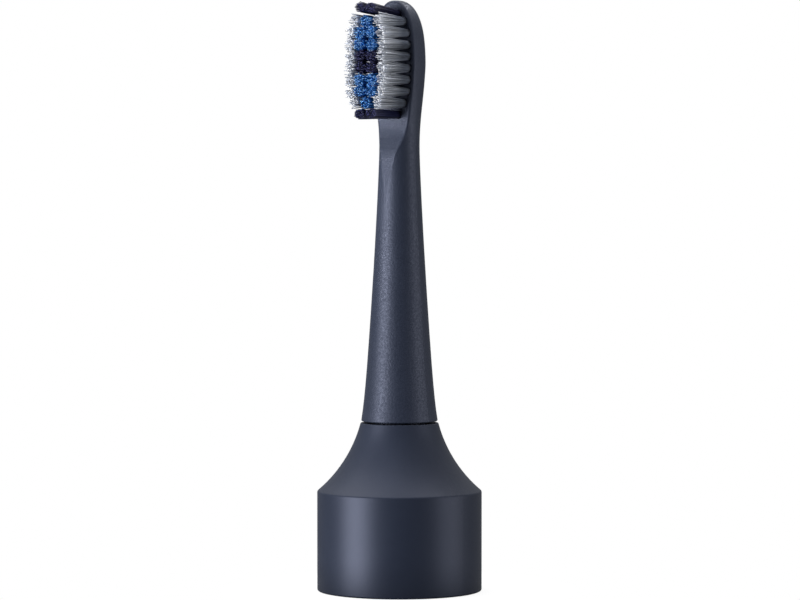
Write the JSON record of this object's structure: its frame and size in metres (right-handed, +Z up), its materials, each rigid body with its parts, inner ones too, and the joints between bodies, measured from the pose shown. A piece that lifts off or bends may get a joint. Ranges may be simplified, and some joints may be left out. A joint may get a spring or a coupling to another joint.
{
  "type": "electric toothbrush head",
  "caption": "Electric toothbrush head: oval tufted brush on a tapered stem that pulls off a bell-shaped drive adapter with a keyed socket for a power handle.",
  "frame": {"origin": "centre of the adapter's rim, on the plane that it stands on", "axes": "+Z up along the shaft towards the brush, -Y the way the bristles point, X across the head"},
  "size_m": [0.037, 0.037, 0.1324],
  "materials": {
    "navy_plastic": "fine matt grain",
    "grey_bristle": "translucent filament",
    "blue_bristle": "filament",
    "navy_bristle": "filament",
    "black_plastic": "moulded satin",
    "white_plastic": "moulded satin",
    "steel": "turned",
    "bronze": "sintered",
    "rubber": "soft"
  },
  "bodies": {
    "adapter": {"adapter_housing": "navy_plastic", "socket_cup": "black_plastic", "cup_seal": "rubber", "chassis": "white_plastic", "pivot_pin": "steel", "crank_bush": "bronze", "thrust_washer": "white_plastic", "shaft_seal": "rubber", "seal_retainer": "black_plastic", "screws": "steel"},
    "drive": {"drive_coupling": "white_plastic", "crank": "steel"},
    "swing": {"swing_lever": "white_plastic", "output_shaft": "steel"},
    "brush": {"brush_body": "navy_plastic", "grey_side_tufts": "grey_bristle", "blue_tufts": "blue_bristle", "navy_centre_tufts": "navy_bristle", "navy_end_tufts": "navy_bristle", "tuft_anchors": "bronze"}
  },
  "joints": [
    {"name": "drive_spin", "type": "hinge", "parent": "adapter", "child": "drive", "pos_m": [0, 0, 0.0145], "axis": [0, 0, 1], "continuous": true},
    {"name": "brush_sway", "type": "hinge", "parent": "adapter", "child": "swing", "pos_m": [0, 0, 0.0295], "axis": [0, 1, 0], "range_deg": [-0.9, 0.9]},
    {"name": "brush_pull", "type": "slide", "parent": "swing", "child": "brush", "axis": [0, 0, 1], "range_m": [0, 0.04]}
  ]
}
